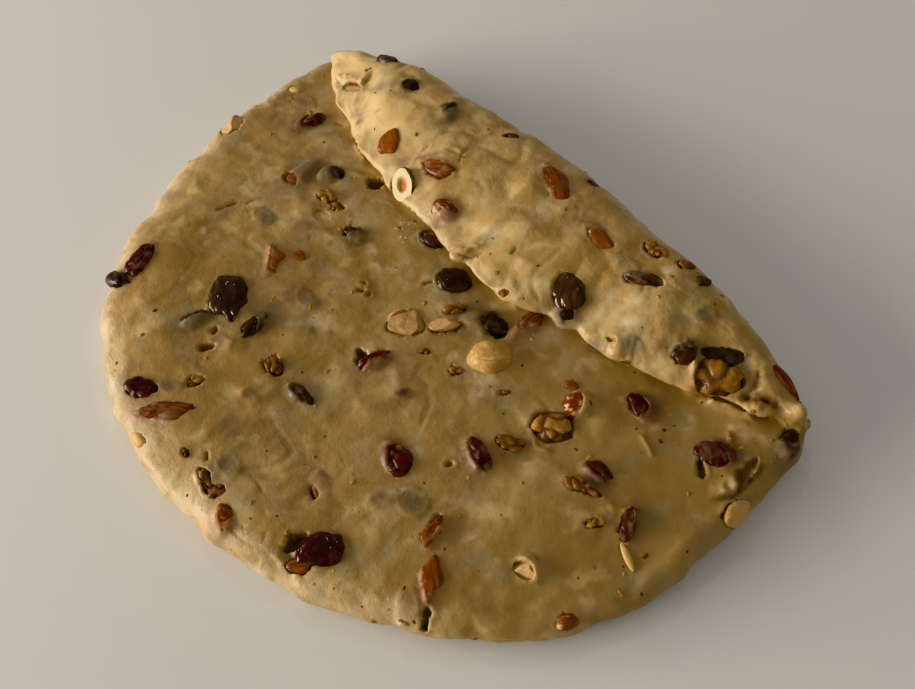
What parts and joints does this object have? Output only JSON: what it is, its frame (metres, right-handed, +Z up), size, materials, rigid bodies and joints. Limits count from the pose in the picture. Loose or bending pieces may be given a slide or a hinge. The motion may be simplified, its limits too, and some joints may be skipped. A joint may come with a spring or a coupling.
{
  "type": "stollen",
  "caption": "Unbaked stollen: a round sheet of yeast dough folded once over itself, full of raisins, cranberries, almonds, hazelnuts and walnuts that break its skin.",
  "frame": {"origin": "middle of the underside of the whole outline", "axes": "+X along the fold, +Y across the sheet towards the fold, +Z up"},
  "size_m": [0.2661, 0.1981, 0.0299],
  "materials": {
    "dough": "satin, slightly translucent raw dough",
    "almond": "brown grained skin",
    "cranberry": "moist, wrinkled dark red",
    "hazelnut": "blanched, satin",
    "raisin": "moist, wrinkled dark brown",
    "walnut": "lobed golden brown kernel"
  },
  "bodies": {
    "root": {"dough": "dough", "almond_01": "almond", "almond_02": "almond", "almond_03": "almond", "almond_04": "almond", "almond_05": "almond", "almond_06": "almond", "almond_07": "almond", "almond_08": "almond", "almond_09": "almond", "almond_10": "almond", "almond_11": "almond", "almond_12": "almond", "almond_13": "almond", "almond_14": "almond", "cranberry_01": "cranberry", "cranberry_02": "cranberry", "cranberry_03": "cranberry", "cranberry_04": "cranberry", "cranberry_05": "cranberry", "cranberry_06": "cranberry", "cranberry_07": "cranberry", "cranberry_08": "cranberry", "cranberry_09": "cranberry", "cranberry_10": "cranberry", "cranberry_11": "cranberry", "hazelnut_01": "hazelnut", "hazelnut_02": "hazelnut", "hazelnut_03": "hazelnut", "hazelnut_04": "hazelnut", "hazelnut_05": "hazelnut", "hazelnut_06": "hazelnut", "hazelnut_07": "hazelnut", "hazelnut_08": "hazelnut", "hazelnut_09": "hazelnut", "raisin_01": "raisin", "raisin_02": "raisin", "raisin_03": "raisin", "raisin_04": "raisin", "raisin_05": "raisin", "raisin_06": "raisin", "raisin_07": "raisin", "raisin_08": "raisin", "raisin_09": "raisin", "raisin_10": "raisin", "raisin_11": "raisin", "raisin_12": "raisin", "raisin_13": "raisin", "raisin_14": "raisin", "raisin_15": "raisin", "raisin_16": "raisin", "raisin_17": "raisin", "walnut_01": "walnut", "walnut_02": "walnut", "walnut_03": "walnut", "walnut_04": "walnut", "walnut_05": "walnut", "walnut_06": "walnut", "walnut_07": "walnut", "walnut_08": "walnut"}
  },
  "joints": []
}
